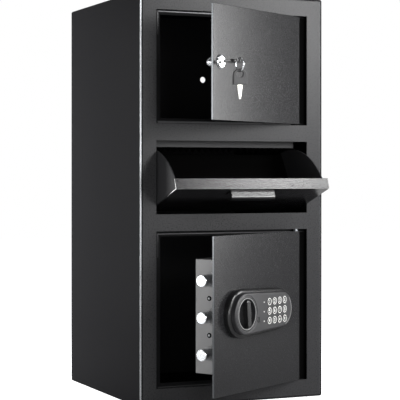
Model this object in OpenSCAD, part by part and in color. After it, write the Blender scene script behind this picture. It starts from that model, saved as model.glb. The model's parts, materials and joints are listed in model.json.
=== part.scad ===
// Drop safe: a tilt-out deposit drawer between two lockable compartments.
// +Z is up, the front faces -Y, and the origin is the middle of the cabinet's underside.
// The doors and the drawer are drawn shut and then turned open about their pivots.

/* [Cabinet] */
// Width of the cabinet
body_w = 350; // [330:1:400]
// Depth of the cabinet
body_d = 360; // [320:1:450]
// Height of the cabinet
body_h = 710; // [700:1:780]
// Thickness of the sheet that wraps the sides, top and floor
shell_t = 4; // [3:0.5:4]
// Outer radius of the folded edges
fold_r = 4; // [3.5:0.5:5]
// Thickness of the front plate
front_t = 3; // [2:0.5:3.5]
// Thickness of the back plate
back_t = 3; // [2:0.5:5]
// Seam between the front plate and the wrapped sheet
seam = 0.8; // [0.3:0.1:0.9]

/* [Openings] */
// Front plate left beside each opening
side_margin = 30; // [26:1:40]
// Front plate left above the top opening and below the bottom one
end_margin = 31; // [30:1:40]
// Height of the rails between the openings
rail_h = 29; // [29:1:40]
// Height of the lower opening
lower_open_h = 268.5; // [255:0.5:280]
// Height of the drawer's opening
drawer_open_h = 126.5; // [126:0.5:130]

/* [Inside] */
// Thickness of the inner plates
plate_t = 3; // [2:0.5:4]
// Rise of the shelf above the drawer's opening
shelf_rise = 5; // [4:0.5:7]
// Depth of the ledge under the drawer
ledge_d = 100; // [60:1:100]
// Downward fold at the ledge's rear edge
ledge_lip = 10; // [6:1:16]
// Distance of the toothed baffle behind the front
baffle_in = 80; // [79:1:95]
// Drop of the toothed baffle below the shelf
baffle_drop = 24; // [16:0.5:24]
// Height of the baffle's teeth
tooth_h = 8; // [5:0.5:12]
// Width of one baffle tooth
tooth_w = 12; // [8:1:20]
// Visible height of the strip above the drawer
strip_h = 11; // [8:0.5:12]
// Distance of that strip behind the front
strip_in = 27; // [25:0.5:30]
// Thickness of that strip
strip_t = 1.5; // [1:0.25:2]

/* [Anchor holes] */
// Diameter of the anchor holes
anchor_d = 12; // [10:0.5:14]
// Spacing of the two holes in the back
back_anchor_gap = 202; // [150:1:220]
// Height of the holes in the back
back_anchor_z = 586; // [520:1:620]
// Spacing of the two holes in the floor
floor_anchor_gap = 200; // [150:1:220]
// Distance of the floor holes behind the middle
floor_anchor_y = 60; // [0:1:100]

/* [Doors] */
// Thickness of the door plates
door_t = 4; // [3:0.5:5]
// Clearance above and below a door
door_gap = 2; // [1.5:0.1:2.5]
// Clearance at a door's free edge
edge_gap = 3; // [1:0.5:4]
// Distance by which the lower door hangs below the middle of its opening
lower_door_drop = 1.5; // [0:0.1:1.5]
// Clearance at a door's hinge edge
hinge_gap = 2; // [1.8:0.1:3]
// Distance of the hinge pin from the door's hinge edge
pin_in = 15; // [13:0.5:18]
// Distance of the hinge pin behind the door's face
pin_back = 10; // [10:0.5:12]
// Angle at which the upper door stands open
upper_door_deg = 30.4; // [0:0.1:90]
// Angle at which the lower door stands open
lower_door_deg = 30.8; // [0:0.1:90]
// Radius of the hinge pins
pin_r = 4; // [3:0.5:4.5]
// Outer radius of the hinge knuckles
knuckle_r = 6; // [5.5:0.5:6]
// Length of the hinge knuckles
knuckle_len = 22; // [15:1:30]
// Setback of a knuckle from the door's top or bottom edge
knuckle_in = 2; // [1:0.5:4]
// Radial running clearance of pins and shafts
run = 0.05; // [0.02:0.01:0.08]
// Clearance between parts that move past each other
free_gap = 0.3; // [0.3:0.05:0.4]

/* [Hinge brackets and stops] */
// Thickness of the hinge brackets
bracket_t = 3; // [2:0.5:3]
// Width of the hinge brackets
bracket_w = 26; // [20:1:28]
// Reach of the hinge brackets behind the front plate
bracket_reach = 17; // [15:0.5:22]
// Height of a hinge bracket's welded leg
bracket_leg = 7.5; // [6:0.5:7.5]
// Gap between an opening and its hinge bracket
bracket_gap = 2; // [2:0.5:4]
// Width of the door stop that shows inside an opening
stop_show = 9; // [6:0.5:10]
// Width of the door stop hidden behind the front plate
stop_hide = 11; // [10:0.5:11]
// Thickness of the door stops
stop_t = 3; // [2:0.5:3]
// Gap between a shut door and its stop
stop_gap = 1; // [0.5:0.1:1.5]
// Length cut off the stops beside the hinge
stop_short = 30; // [28:1:60]

/* [Drawer] */
// Angle at which the drawer stands open
drawer_deg = 71.2; // [0:0.1:71.2]
// Distance of the drawer's pivot behind the front
drawer_pivot_in = 14.5; // [14:0.1:16]
// Height of the drawer's pivot above its opening's lower edge
drawer_pivot_up = 25.5; // [25.5:0.5:26.5]
// Thickness of the drawer's sheet
tray_t = 2; // [1.5:0.25:2.5]
// Depth of the drawer's folded rim
rim_d = 19; // [16:0.5:20]
// Gap at the drawer's left and right edges
tray_side_gap = 1; // [0.8:0.1:2]
// Gap at the drawer's top edge
tray_top_gap = 1.5; // [1:0.1:2]
// Gap at the drawer's bottom edge
tray_low_gap = 4; // [3.5:0.1:5]
// Setback of the right side plate from the drawer's edge
side_in = 9.5; // [8:0.5:12]
// Radius of the side plates' curved edge
side_arc_r = 150.7; // [148:0.1:150.7]
// Distance of that curve's centre in front of the pivot
side_arc_out = 53; // [53:0.5:56]
// Distance of that curve's centre below the pivot
side_arc_down = 40.7; // [40.7:0.1:45]
// Drop of the drawer's back plate below the pivot, where it meets the front
back_drop = 5.8; // [5.5:0.1:9]
// Slope of the drawer's back plate
back_slope = 13.9; // [12:0.1:14]
// Depth of the drawer's back plate
back_reach = 93.5; // [80:0.5:93.5]
// Width of the handle
handle_w = 82; // [60:1:120]
// Height of the handle above the pivot
handle_up = 92; // [70:0.5:94]
// Projection of the handle
handle_out = 15; // [12:0.5:18]
// Depth of the handle's folded lip
handle_lip = 12; // [8:0.5:16]
// Length of the handle's welded leg
handle_leg = 22; // [15:0.5:30]
// Outer radius of the handle's folds
handle_fold = 4; // [3:0.5:5]
// Head radius of the drawer's pivot pins
rivet_r = 6; // [5:0.5:7]
// Head thickness of the drawer's pivot pins
rivet_t = 1.5; // [1:0.25:2]
// Distance of a pivot bracket outside its opening's edge
drawer_bracket_out = 2; // [2:0.5:4]
// Depth of a pivot bracket
drawer_bracket_d = 37; // [30:1:60]
// Height of a pivot bracket
drawer_bracket_h = 40; // [30:1:44]
// Welded leg of a pivot bracket
drawer_bracket_leg = 13; // [8:1:14]

/* [Cam lock] */
// Distance of the lock from the upper door's free edge
lock_edge = 21; // [21:0.5:50]
// Height of the lock above the upper opening's lower edge
lock_up = 98; // [60:0.5:120]
// Radius of the lock's front flange
rosette_r = 12; // [11:0.5:13]
// Thickness of the lock's front flange
rosette_t = 3; // [2:0.5:4]
// Radius of the lock's barrel
barrel_r = 8.6; // [8.4:0.1:9]
// Length of the barrel behind the door's face
barrel_len = 19; // [18:0.5:21]
// Radius of the turning plug
plug_r = 6; // [6:0.1:6.5]
// Width across the corners of the lock's nut
nut_w = 26; // [22:0.5:26]
// Thickness of the lock's nut
nut_t = 5; // [4:0.5:6]
// Length of the cam
cam_len = 35; // [30:0.5:38]
// Width of the cam
cam_w = 14; // [10:0.5:16]
// Thickness of the cam
cam_t = 3; // [2:0.5:3]
// Distance of the cam's tip behind the door's face
cam_tip_back = 9.5; // [9.5:0.1:12]
// Distance of the cam's crank from the plug's axis
cam_crank = 20; // [15:0.5:22]
// Side of the square on the plug's tail
tail_w = 7; // [6:0.25:8]

/* [Keys] */
// Width of a key's head
head_w = 24; // [22:0.5:26]
// Length of a key's head
head_len = 26.5; // [24:0.5:32]
// Thickness of a key's head
head_t = 4.4; // [4:0.1:4.4]
// Radius of the hole in a key's head
head_hole_r = 5.8; // [5.8:0.1:6.2]
// Material left between that hole and the head's end
head_bar = 3; // [2.5:0.1:3]
// Width of a key's blade at the head
blade_w = 8.4; // [8:0.1:9.6]
// Width of a key's blade at its tip
blade_tip_w = 3.5; // [3.5:0.1:6]
// Thickness of a key's blade
blade_t = 2; // [1.6:0.1:2]
// Length of a key's blade
blade_len = 23.5; // [22:0.5:28]
// Length of blade held in the head
blade_root = 8; // [5:0.5:10]
// Distance of the fitted key's head in front of the door
key_out = 13; // [12:0.5:16]
// Outer diameter of the key ring
ring_d = 24; // [20:0.5:24]
// Thickness of the key ring's wire
ring_wire = 2.2; // [1.8:0.1:2.2]
// Distance from the head's bar to the ring's inner edge
ring_hang = 3.1; // [3.1:0.05:3.15]
// Turn of the ring about the vertical
ring_turn = 21; // [15:1:21]
// Turn of the spare key about the vertical
spare_turn = 35; // [25:1:40]
// Play of the spare key on the ring
spare_play = 0.8; // [0.7:0.05:0.95]

/* [Electronic lock] */
// Distance of the knob from the lower door's free edge
knob_edge = 67.5; // [65:0.5:78]
// Height of the knob above the lower opening's lower edge
knob_up = 133.8; // [120:0.1:145]
// Distance between the knob and the centre of the housing's keypad end
pad_dx = 111.5; // [105:0.5:115]
// Radius of the housing's knob end
base_r = 41; // [40:0.5:44]
// Radius of the housing's keypad end
base_small_r = 36; // [35:0.5:38]
// Height of the housing's lower tier
base_h = 12; // [10:0.5:14]
// Height of the housing's upper tier
face_h = 8; // [8:0.5:10]
// Step between the two tiers
tier_step = 6; // [4:0.5:6]
// Edge rounding of the lower tier
base_round = 5; // [2:0.5:5]
// Edge rounding of the upper tier
face_round = 2.5; // [1:0.5:3]
// Radius of the recess round the knob
dial_r = 25; // [22:0.5:26]
// Height of the knob's disc above the lower tier
dial_h = 3; // [2:0.5:4]
// Width of the knob's grip
grip_w = 10; // [8:0.5:12]
// Height of the knob's grip above its disc
grip_h = 9; // [6:0.5:12]
// Lean of the knob's grip in the unlocked position
grip_lean = 5; // [0:1:10]
// Radius of the keypad buttons
button_r = 6.3; // [5:0.1:6.3]
// Spacing of the keypad buttons
button_pitch = 16.1; // [16:0.1:16.5]
// Distance from the knob to the nearest button column
button_dx = 67.5; // [64:0.5:68]
// Height of a button above the housing
button_show = 0.8; // [0.5:0.1:1]
// Distance from the knob to the status lights
light_dx = 51.5; // [50:0.5:56]
// Radius of a status light
light_r = 1.2; // [0.8:0.1:1.5]
// Distance from the knob to the override cover
cover_dx = 34; // [32:0.5:36]
// Drop of the override cover below the knob
cover_drop = 12; // [8:0.5:14]
// Radius of the override cover
cover_r = 5; // [4:0.5:6]
// Radius of the knob's spindle
spindle_r = 4; // [3:0.5:5]
// Radius of the door's hole for the spindle
spindle_hole_r = 9; // [7:0.5:12]

/* [Boltwork] */
// Distance of the bolt box's outer wall from the door's free edge
box_edge = 34; // [34:0.5:40]
// Width of the bolt box
box_w = 150; // [130:1:170]
// Height of the bolt box
box_h = 191; // [185:1:200]
// Depth of the bolt box behind the door's face
box_d = 61.5; // [60:0.5:62]
// Sheet thickness of the bolt box
box_t = 2; // [1.5:0.25:2]
// Flange that holds the bolt box to the door
box_flange = 12; // [8:0.5:16]
// Height of the middle bolt above the lower opening's lower edge
bolt_up = 128.8; // [128:0.1:136]
// Spacing of the bolts
bolt_pitch = 61.3; // [55:0.1:64]
// Radius of the bolts
bolt_r = 10; // [9:0.25:10]
// Distance of the bolts' axes behind the door's face
bolt_back = 32.6; // [32:0.1:33]
// Distance of the drawn-back bolts' ends from the door's free edge
bolt_end_edge = 8.5; // [8.5:0.5:15]
// Length of the bolts
bolt_len = 48.5; // [47:0.5:49]
// Chamfer on the bolts' ends
bolt_chamfer = 1; // [0.5:0.25:1.5]
// Flange radius of the bolts' bushes
bush_flange_r = 13; // [12.5:0.25:14]
// Body radius of the bolts' bushes
bush_r = 11.5; // [11:0.25:12]
// Length of the bushes inside the box
bush_len = 3; // [2:0.5:3]
// Thickness of the bushes' flanges
bush_flange_t = 2; // [1.5:0.25:3]
// Throw of the crank that moves the bolts
crank_r = 11.3; // [10:0.1:11.3]
// Radius of the crank's pin
crank_pin_r = 2.5; // [2:0.25:3]
// Play of the crank's pin in its slot
slot_play = 0.4; // [0.38:0.01:0.45]
// Distance of the crank behind the door's face
crank_back = 36; // [34:0.5:38]
// Thickness of the crank
crank_t = 3; // [2.5:0.25:4]
// Distance of the carrier plate behind the door's face
carrier_back = 45; // [44:0.5:46]
// Thickness of the carrier plate
carrier_t = 3; // [2:0.5:3]
// Width of the battery cover
cell_w = 62; // [50:1:80]
// Height of the battery cover
cell_h = 96; // [80:1:120]
// Thickness of the battery cover
cell_t = 1.5; // [1:0.25:2]

/* [Hidden] */
front_y = -body_d / 2;
plate_back_y = front_y + front_t;
inner_w = body_w - 2 * shell_t;
inner_back_y = body_d / 2 - back_t;
open_w = body_w - 2 * side_margin;
open_x = open_w / 2;
lower_z0 = end_margin;
lower_z1 = lower_z0 + lower_open_h;
drawer_z0 = lower_z1 + rail_h;
drawer_z1 = drawer_z0 + drawer_open_h;
upper_z0 = drawer_z1 + rail_h;
upper_z1 = body_h - end_margin;
shelf_z = drawer_z1 + shelf_rise;
ledge_z = lower_z1 + bracket_gap + bracket_leg + 2;

door_w = open_w - edge_gap - hinge_gap;
pivot_x = open_x - hinge_gap - pin_in;
pivot_y = front_y + pin_back;
door_far_s = door_w - pin_in;

drawer_pivot_y = front_y + drawer_pivot_in;
drawer_pivot_z = drawer_z0 + drawer_pivot_up;
tray_x = open_x - tray_side_gap;
tray_top = drawer_open_h - drawer_pivot_up - tray_top_gap;
tray_low = tray_low_gap - drawer_pivot_up;
side_right_x = tray_x - side_in;
drawer_bracket_x = open_x + drawer_bracket_out;
strip_clear = 1;

lock_s = door_far_s - lock_edge;
lock_z = upper_z0 + lock_up;
key_bar_out = key_out + head_len - head_bar / 2;
hole_y = head_len - head_bar - head_hole_r;
ring_r = (ring_d - ring_wire) / 2;
ring_drop = ring_r - ring_wire / 2 - ring_hang;
slot_clear = 0.1;

knob_s = door_far_s - knob_edge;
knob_z = lower_z0 + knob_up;
box_s = door_far_s - box_edge;
bolt_end_s = door_far_s - bolt_end_edge;
bolt_root_s = bolt_end_s - bolt_len;
bolt_z = lower_z0 + bolt_up;
housing_h = base_h + face_h;
button_ledge = 3;
button_flange = 0.8;
dial_clear = 0.3;
crank_up = crank_r * cos(45);
bolts = [-1, 0, 1];
black = [0.10, 0.10, 0.10];
dark = [0.05, 0.05, 0.05];
zinc = [0.75, 0.76, 0.78];
chrome = [0.85, 0.86, 0.88];

// Shared shapes

// Box between two opposite corners
module block(a, b) {
    translate(a) cube(b - a);
}

// Outline of a rectangle with round corners, centred in x and standing on y = 0
module round_outline(w, h, r) {
    translate([-w / 2 + r, 0]) square([w - 2 * r, h]);
    translate([-w / 2, r]) square([w, h - 2 * r]);
    for (x = [-w / 2 + r, w / 2 - r], y = [r, h - r])
        translate([x, y]) circle(r, $fn = 48);
}

// Extrudes a front view from one depth to another
module front_slab(y0, y1) {
    translate([0, y1, 0]) rotate([90, 0, 0]) linear_extrude(y1 - y0) children();
}

// Extrudes a side view, given as depth and height, from one x to another
module side_slab(x0, x1) {
    translate([x0, 0, 0]) rotate([90, 0, 90]) linear_extrude(x1 - x0) children();
}

// Places parts drawn about a door's hinge axis
module on_door(angle) {
    translate([pivot_x, pivot_y, 0]) rotate([0, 0, angle]) children();
}

// Places parts drawn outward from a door's face, s away from the hinge axis
module from_face(angle, s, z) {
    on_door(angle) translate([-s, -pin_back, z]) rotate([90, 0, 0]) children();
}

module on_upper_lock() {
    from_face(upper_door_deg, lock_s, lock_z) children();
}

module on_knob() {
    from_face(lower_door_deg, knob_s, knob_z) children();
}

module on_boltwork() {
    from_face(lower_door_deg, 0, bolt_z) children();
}

// Places parts drawn about the drawer's pivot
module on_drawer() {
    translate([0, drawer_pivot_y, drawer_pivot_z]) rotate([drawer_deg, 0, 0]) children();
}

// Cabinet

module cabinet_wrapper() {
    color(black) difference() {
        front_slab(front_y, body_d / 2) difference() {
            round_outline(body_w, body_h, fold_r);
            translate([0, shell_t])
                round_outline(inner_w, body_h - 2 * shell_t, fold_r - shell_t + 0.5);
        }
        for (side = [-1, 1])
            translate([side * floor_anchor_gap / 2, floor_anchor_y, -1])
                cylinder(h = shell_t + 2, d = anchor_d, $fn = 48);
    }
}

module back_plate() {
    color(black) difference() {
        front_slab(inner_back_y, body_d / 2) translate([0, shell_t])
            round_outline(inner_w, body_h - 2 * shell_t, fold_r - shell_t + 0.5);
        for (side = [-1, 1])
            translate([side * back_anchor_gap / 2, inner_back_y - 1, back_anchor_z])
                rotate([-90, 0, 0]) cylinder(h = back_t + 2, d = anchor_d, $fn = 48);
    }
}

module front_plate() {
    color(black) front_slab(front_y, plate_back_y) difference() {
        translate([0, shell_t + seam])
            round_outline(inner_w - 2 * seam, body_h - 2 * (shell_t + seam), fold_r - shell_t + 0.5);
        for (z = [[lower_z0, lower_z1], [drawer_z0, drawer_z1], [upper_z0, upper_z1]])
            translate([-open_x, z[0]]) square([open_w, z[1] - z[0]]);
    }
}

module upper_shelf() {
    color(black)
        block([-inner_w / 2, plate_back_y, shelf_z],
            [inner_w / 2, inner_back_y, shelf_z + plate_t]);
}

// Ledge that keeps hands out of the lower compartment, with a folded rear lip
module drop_ledge() {
    y1 = front_y + ledge_d;
    color(black) {
        block([-inner_w / 2, plate_back_y, ledge_z], [inner_w / 2, y1, ledge_z + plate_t]);
        block([-inner_w / 2, y1 - plate_t, ledge_z - ledge_lip], [inner_w / 2, y1, ledge_z]);
    }
}

// Toothed plate that hangs from the shelf behind the open drawer
module drop_baffle() {
    teeth = floor(inner_w / tooth_w);
    margin = (inner_w - teeth * tooth_w) / 2;
    y0 = front_y + baffle_in;
    z0 = shelf_z - baffle_drop;
    color(black) front_slab(y0, y0 + strip_t) {
        translate([-inner_w / 2, z0 + tooth_h]) square([inner_w, baffle_drop - tooth_h]);
        for (i = [0 : teeth - 1])
            translate([-inner_w / 2 + margin + i * tooth_w, z0])
                polygon([[0, tooth_h], [tooth_w / 2, 0], [tooth_w, tooth_h]]);
    }
}

// Strip above the drawer, hung from the shelf between the drawer's side plates
module drawer_strip() {
    y0 = front_y + strip_in;
    color([0.25, 0.25, 0.26])
        block([-tray_x + 2 * tray_t + strip_clear, y0, drawer_z1 - strip_h],
            [side_right_x - tray_t - strip_clear, y0 + strip_t, shelf_z]);
}

// Strip round three sides of a door opening, open beside the hinge
module door_stop(z0, z1) {
    y0 = front_y + door_t + stop_gap;
    x1 = open_x - stop_short;
    color([0.22, 0.22, 0.22]) {
        front_slab(y0, y0 + stop_t) stop_outline(z0, z1, x1, stop_show);
        front_slab(plate_back_y, y0) stop_outline(z0, z1, x1, -2);
    }
}

// Three-sided outline that reaches the given distance into the opening
module stop_outline(z0, z1, x1, show) {
    difference() {
        translate([-open_x - stop_hide, z0 - stop_hide])
            square([x1 + open_x + stop_hide, z1 - z0 + 2 * stop_hide]);
        translate([-open_x + show, z0 + show])
            square([2 * open_w, z1 - z0 - 2 * show]);
    }
}

module upper_door_stop() {
    door_stop(upper_z0, upper_z1);
}

module lower_door_stop() {
    door_stop(lower_z0, lower_z1);
}

// Folded bracket behind the front plate with a bore for a hinge pin
module hinge_bracket(edge_z, up) {
    color(dark) translate([pivot_x, 0, edge_z]) mirror([0, 0, up > 0 ? 0 : 1]) difference() {
        union() {
            block([-bracket_w / 2, plate_back_y, bracket_gap],
                [bracket_w / 2, plate_back_y + bracket_reach, bracket_gap + bracket_t]);
            block([-bracket_w / 2, plate_back_y, bracket_gap],
                [bracket_w / 2, plate_back_y + bracket_t, bracket_gap + bracket_leg]);
        }
        translate([0, pivot_y, bracket_gap - 1])
            cylinder(h = bracket_t + 2, r = pin_r + run, $fn = 48);
    }
}

module upper_hinge_brackets() {
    hinge_bracket(upper_z0, -1);
    hinge_bracket(upper_z1, 1);
}

module lower_hinge_brackets() {
    hinge_bracket(lower_z0, -1);
    hinge_bracket(lower_z1, 1);
}

// Angle bracket behind the front plate that carries one end of the drawer
module drawer_bracket(side) {
    x0 = drawer_bracket_x;
    z0 = drawer_pivot_z - drawer_bracket_h / 2;
    z1 = drawer_pivot_z + drawer_bracket_h / 2;
    color(dark) mirror([side < 0 ? 1 : 0, 0, 0]) difference() {
        union() {
            block([x0, plate_back_y, z0], [x0 + plate_t, plate_back_y + drawer_bracket_d, z1]);
            block([x0, plate_back_y, z0],
                [x0 + drawer_bracket_leg, plate_back_y + plate_t, z1]);
        }
        translate([x0 - 1, drawer_pivot_y, drawer_pivot_z]) rotate([0, 90, 0])
            cylinder(h = plate_t + 2, r = pin_r + run, $fn = 48);
    }
}

module drawer_bracket_left() {
    drawer_bracket(-1);
}

module drawer_bracket_right() {
    drawer_bracket(1);
}

// Drawer

// Front pan: a face with a folded rim at its top and sides
module drawer_tray() {
    y0 = -drawer_pivot_in;
    left_x = -tray_x + tray_t;
    color(black) on_drawer() difference() {
        union() {
            block([-tray_x, y0, tray_low], [tray_x, y0 + tray_t, tray_top]);
            block([-tray_x, y0, tray_top - tray_t], [tray_x, y0 + rim_d, tray_top]);
            for (x = [left_x, tray_x - tray_t])
                block([x, y0 + tray_t, tray_low], [x + tray_t, y0 + rim_d, tray_top - tray_t]);
        }
        translate([-tray_x - 1, 0, 0]) rotate([0, 90, 0])
            cylinder(h = 2 * tray_x + 2, r = pin_r, $fn = 48);
    }
}

// Side plate with its curved top edge and its sloping lower edge
module drawer_side(x0) {
    y0 = -drawer_pivot_in + tray_t;
    y1 = side_arc_r;
    low_z = -back_drop - tray_t / cos(back_slope);
    color(black) on_drawer() side_slab(x0, x0 + tray_t) difference() {
        intersection() {
            translate([-side_arc_out, -side_arc_down]) circle(side_arc_r, $fn = 180);
            polygon([[y0, tray_low + 3], [y0 + 14, tray_low + 3],
                [y0 + 26, low_z - (y0 + 26 - y0) * tan(back_slope)],
                [y1, low_z - (y1 - y0) * tan(back_slope)], [y1, tray_top - tray_t],
                [y0, tray_top - tray_t]]);
        }
        circle(pin_r, $fn = 48);
    }
}

module drawer_side_left() {
    drawer_side(-tray_x);
}

module drawer_side_right() {
    drawer_side(side_right_x - tray_t);
}

// Sloping floor that closes the throat when the drawer is open
module drawer_back() {
    y0 = -drawer_pivot_in + tray_t;
    x0 = -tray_x + tray_t;
    x1 = side_right_x - tray_t;
    drop = tan(back_slope);
    thick = tray_t / cos(back_slope);
    color(black) on_drawer() difference() {
        side_slab(x0, x1)
            polygon([[y0, -back_drop], [y0, -back_drop - thick],
                [back_reach, -back_drop - thick - (back_reach - y0) * drop],
                [back_reach, -back_drop - (back_reach - y0) * drop]]);
        block([x0 - 1, y0 - 1, tray_low - 1],
            [x0 + tray_t, -drawer_pivot_in + rim_d, tray_top]);
    }
}

// Folded pull with a welded leg, a flat top and a turned-down lip
module drawer_handle() {
    y0 = -drawer_pivot_in;
    y1 = y0 - handle_out;
    z1 = handle_up;
    color([0.16, 0.16, 0.16]) on_drawer() side_slab(-handle_w / 2, handle_w / 2)
        difference() {
            union() {
                translate([y1 + handle_fold, z1 - tray_t])
                    square([handle_out - handle_fold, tray_t]);
                translate([y0 - tray_t, z1 - handle_leg]) square([tray_t, handle_leg]);
                translate([y1, z1 - handle_lip]) square([tray_t, handle_lip - handle_fold]);
                intersection() {
                    translate([y1 + handle_fold, z1 - handle_fold])
                        circle(handle_fold, $fn = 48);
                    translate([y1, z1 - handle_fold]) square(handle_fold);
                }
            }
            translate([y1 + handle_fold, z1 - handle_fold])
                circle(handle_fold - tray_t, $fn = 48);
        }
}

// Riveted pivot pins, the right one with a shoulder across the wider gap
module drawer_pins() {
    left = -tray_x;
    right = side_right_x - tray_t;
    end_x = drawer_bracket_x + plate_t + 1;
    color(zinc) on_drawer() {
        along_x(-end_x, left + 2 * tray_t, pin_r);
        along_x(left + 2 * tray_t, left + 2 * tray_t + rivet_t, rivet_r);
        along_x(right - rivet_t, right, rivet_r);
        along_x(right, end_x, pin_r);
        along_x(right + tray_t, tray_x - tray_t, rivet_r);
    }
}

// Cylinder along x
module along_x(x0, x1, r) {
    translate([x0, 0, 0]) rotate([0, 90, 0]) cylinder(h = x1 - x0, r = r, $fn = 48);
}

// Doors

// Flat plate about the hinge axis
module door_plate(z0, z1) {
    block([-door_far_s, -pin_back, z0 + door_gap],
        [pin_in, -pin_back + door_t, z1 - door_gap]);
}

// Knuckle on the door's back, joined to it by a web
module knuckle(edge_z, up) {
    translate([0, 0, edge_z]) mirror([0, 0, up > 0 ? 0 : 1])
        translate([0, 0, -door_gap - knuckle_in - knuckle_len]) difference() {
            union() {
                cylinder(h = knuckle_len, r = knuckle_r, $fn = 48);
                block([-knuckle_r + 1, door_t - pin_back, 0], [knuckle_r - 1, 0, knuckle_len]);
            }
            translate([0, 0, -1]) cylinder(h = knuckle_len + 2, r = pin_r, $fn = 48);
        }
}

// Hinge pin from the knuckle through its bracket
module hinge_pin(edge_z, up) {
    low = -door_gap - knuckle_in - knuckle_len;
    high = bracket_gap + bracket_t + 1;
    translate([0, 0, edge_z]) mirror([0, 0, up > 0 ? 0 : 1]) translate([0, 0, low])
        cylinder(h = high - low, r = pin_r, $fn = 48);
}

module upper_door_plate() {
    color(black) difference() {
        on_door(upper_door_deg) door_plate(upper_z0, upper_z1);
        on_upper_lock() translate([0, 0, -door_t - 1])
            cylinder(h = door_t + 2, r = barrel_r, $fn = 48);
    }
}

module upper_knuckles() {
    color(dark) on_door(upper_door_deg) {
        knuckle(upper_z0, -1);
        knuckle(upper_z1, 1);
    }
}

module upper_hinge_pins() {
    color(zinc) on_door(upper_door_deg) {
        hinge_pin(upper_z0, -1);
        hinge_pin(upper_z1, 1);
    }
}

// Cam lock

// Threaded barrel with a domed front flange and a bore for the plug
module lock_body() {
    color(chrome) on_upper_lock() rotate_extrude($fn = 64) difference() {
        union() {
            translate([0, -barrel_len]) square([barrel_r, barrel_len]);
            polygon([[0, 0], [rosette_r, 0], [rosette_r, rosette_t * 0.4],
                [rosette_r - rosette_t * 0.9, rosette_t], [0, rosette_t]]);
        }
        translate([0, -barrel_len - 1])
            square([plug_r + run, barrel_len + rosette_t + 2]);
    }
}

module lock_nut() {
    color(zinc) on_upper_lock() translate([0, 0, -door_t - nut_t]) difference() {
        rotate([0, 0, 30]) cylinder(h = nut_t, d = nut_w, $fn = 6);
        translate([0, 0, -1]) cylinder(h = nut_t + 2, r = barrel_r, $fn = 48);
    }
}

// Plug with its keyway, square tail and screw hole
module lock_plug() {
    tail = cam_t + free_gap;
    depth = key_out - blade_len - 1;
    color(chrome) on_upper_lock() difference() {
        union() {
            translate([0, 0, -barrel_len]) cylinder(h = barrel_len + rosette_t, r = plug_r, $fn = 48);
            block([-tail_w / 2, -tail_w / 2, -barrel_len - tail],
                [tail_w / 2, tail_w / 2, -barrel_len]);
        }
        block([-blade_w / 2 - slot_clear, -blade_t / 2 - slot_clear, depth],
            [blade_w / 2 + slot_clear, blade_t / 2 + slot_clear, rosette_t + 1]);
        translate([0, 0, -barrel_len - tail - 1]) cylinder(h = 9, r = 2, $fn = 32);
    }
}

// Cranked cam on the plug's tail, pointing at the hinge while the door is unlocked
module lock_cam() {
    z1 = -barrel_len - free_gap;
    z0 = z1 - cam_t;
    tip = -cam_tip_back;
    color(zinc) on_upper_lock() difference() {
        union() {
            translate([0, 0, z0]) cylinder(h = cam_t, r = cam_w / 2, $fn = 48);
            block([0, -cam_w / 2, z0], [cam_crank + cam_t, cam_w / 2, z1]);
            block([cam_crank, -cam_w / 2, z0], [cam_crank + cam_t, cam_w / 2, tip]);
            block([cam_crank, -cam_w / 2, tip - cam_t], [cam_len, cam_w / 2, tip]);
        }
        block([-tail_w / 2, -tail_w / 2, z0 - 1], [tail_w / 2, tail_w / 2, z1 + 1]);
    }
}

module cam_screw() {
    z0 = -barrel_len - cam_t - free_gap;
    color(zinc) on_upper_lock() {
        translate([0, 0, z0]) cylinder(h = 8, r = 2, $fn = 32);
        translate([0, 0, z0 - 2.2]) cylinder(h = 2.2, r = 5.2, $fn = 48);
    }
}

// Keys

// Key head about its normal, with its square end at y = 0
module key_head_shape() {
    r = head_w / 2;
    difference() {
        linear_extrude(head_t, center = true) difference() {
            union() {
                translate([0, head_len - r]) circle(r, $fn = 64);
                translate([-r, 0]) square([head_w, head_len - r]);
            }
            translate([0, hole_y]) circle(head_hole_r, $fn = 48);
        }
        block([-blade_w / 2, -1, -blade_t / 2], [blade_w / 2, blade_root, blade_t / 2]);
    }
}

// Tapered blade with a round tip
module key_blade_shape() {
    r = blade_tip_w / 2;
    linear_extrude(blade_t, center = true)
        polygon(concat([[-blade_w / 2, blade_root], [blade_w / 2, blade_root], [blade_w / 2, -4]],
            [for (a = [0 : -15 : -180]) [r * cos(a), -blade_len + r + r * sin(a)]],
            [[-blade_w / 2, -4]]));
}

module on_fitted_key() {
    on_upper_lock() translate([0, 0, key_out]) rotate([90, 0, 0]) children();
}

module on_spare_key() {
    on_upper_lock() translate([0, -ring_drop - ring_r, key_bar_out])
        rotate([0, -spare_turn, 0])
            translate([0, -hole_y - head_hole_r + spare_play + ring_wire / 2, 0]) children();
}

module key_blade() {
    color(zinc) on_fitted_key() key_blade_shape();
}

module key_head() {
    color(dark) on_fitted_key() key_head_shape();
}

module key_ring() {
    color(chrome) on_upper_lock() translate([0, -ring_drop, key_bar_out])
        rotate([0, -ring_turn, 0]) rotate([0, 90, 0]) rotate_extrude($fn = 64)
            translate([ring_r, 0]) circle(ring_wire / 2, $fn = 24);
}

module spare_blade() {
    color(zinc) on_spare_key() key_blade_shape();
}

module spare_head() {
    color(dark) on_spare_key() key_head_shape();
}

// Lower door

module lower_door_plate() {
    color(black) difference() {
        on_door(lower_door_deg) translate([0, 0, -lower_door_drop])
            door_plate(lower_z0, lower_z1);
        on_knob() translate([0, 0, -door_t - 1])
            cylinder(h = door_t + 2, r = spindle_hole_r, $fn = 48);
    }
}

module lower_knuckles() {
    color(dark) on_door(lower_door_deg) {
        knuckle(lower_z0, -1);
        knuckle(lower_z1, 1);
    }
}

module lower_hinge_pins() {
    color(zinc) on_door(lower_door_deg) {
        hinge_pin(lower_z0, -1);
        hinge_pin(lower_z1, 1);
    }
}

// Electronic lock

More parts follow.
